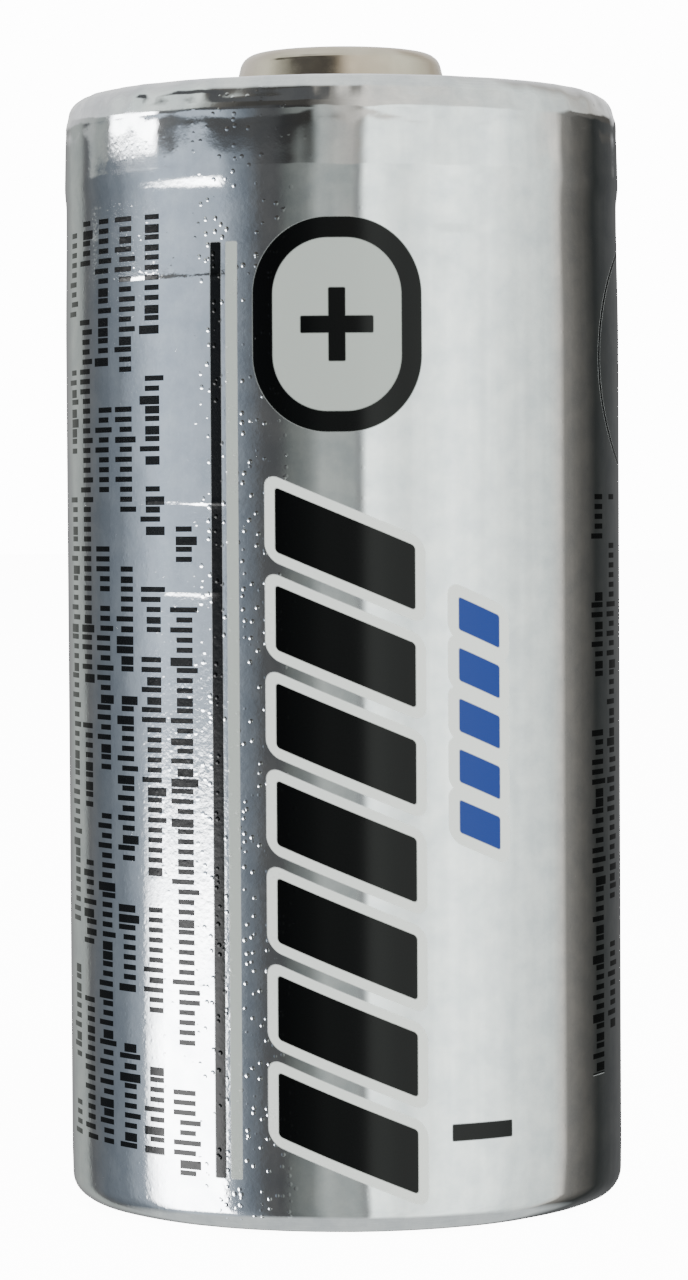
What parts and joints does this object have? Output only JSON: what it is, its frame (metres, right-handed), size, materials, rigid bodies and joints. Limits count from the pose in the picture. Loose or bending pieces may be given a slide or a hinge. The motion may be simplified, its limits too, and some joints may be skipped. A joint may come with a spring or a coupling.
{
  "type": "cylindrical lithium battery cell",
  "caption": "Cylindrical lithium cell: printed metallised sleeve over a beaded steel can, button terminal, crimped vent seal and a spiral-wound electrode roll.",
  "frame": {"origin": "centre of the negative contact, on the surface the cell stands on", "axes": "+Z along the cell's axis, from the negative contact to the positive button; +Y towards the sleeve's back seam, -Y towards the front of the print"},
  "size_m": [0.0168, 0.0168, 0.0345],
  "materials": {
    "printed_film": "metallised film, gloss",
    "washer_fibre": "matte",
    "can_steel": "nickel plated, satin",
    "gasket_nylon": "natural moulding",
    "terminal_steel": "nickel plated, bright",
    "ptc_polymer": "matte",
    "nickel_foil": "satin",
    "cover_steel": "satin",
    "bushing_plastic": "matte",
    "ball_steel": "polished",
    "tab_aluminium": "rolled",
    "insulator_film": "matte",
    "separator_film": "microporous, matte",
    "manganese_dioxide": "pressed powder, matte",
    "grid_metal": "expanded mesh",
    "lithium": "rolled foil, satin",
    "lead_nickel": "rolled strip",
    "wrap_film": "translucent film",
    "closing_tape": "adhesive film"
  },
  "bodies": {
    "root": {"label_sleeve": "printed_film", "insulating_washer": "washer_fibre", "can": "can_steel", "gasket": "gasket_nylon", "terminal_cap": "terminal_steel", "ptc_core": "ptc_polymer", "ptc_foils": "nickel_foil", "cell_cover": "cover_steel", "vent_bushing": "bushing_plastic", "vent_ball": "ball_steel", "cathode_tab": "tab_aluminium", "top_insulator": "insulator_film", "bottom_insulator": "insulator_film", "separator_inner": "separator_film", "cathode_coat_inner": "manganese_dioxide", "cathode_grid": "grid_metal", "cathode_coat_outer": "manganese_dioxide", "separator_outer": "separator_film", "lithium_anode": "lithium", "anode_lead": "lead_nickel", "roll_wrap": "wrap_film", "closing_tape": "closing_tape"}
  },
  "joints": []
}
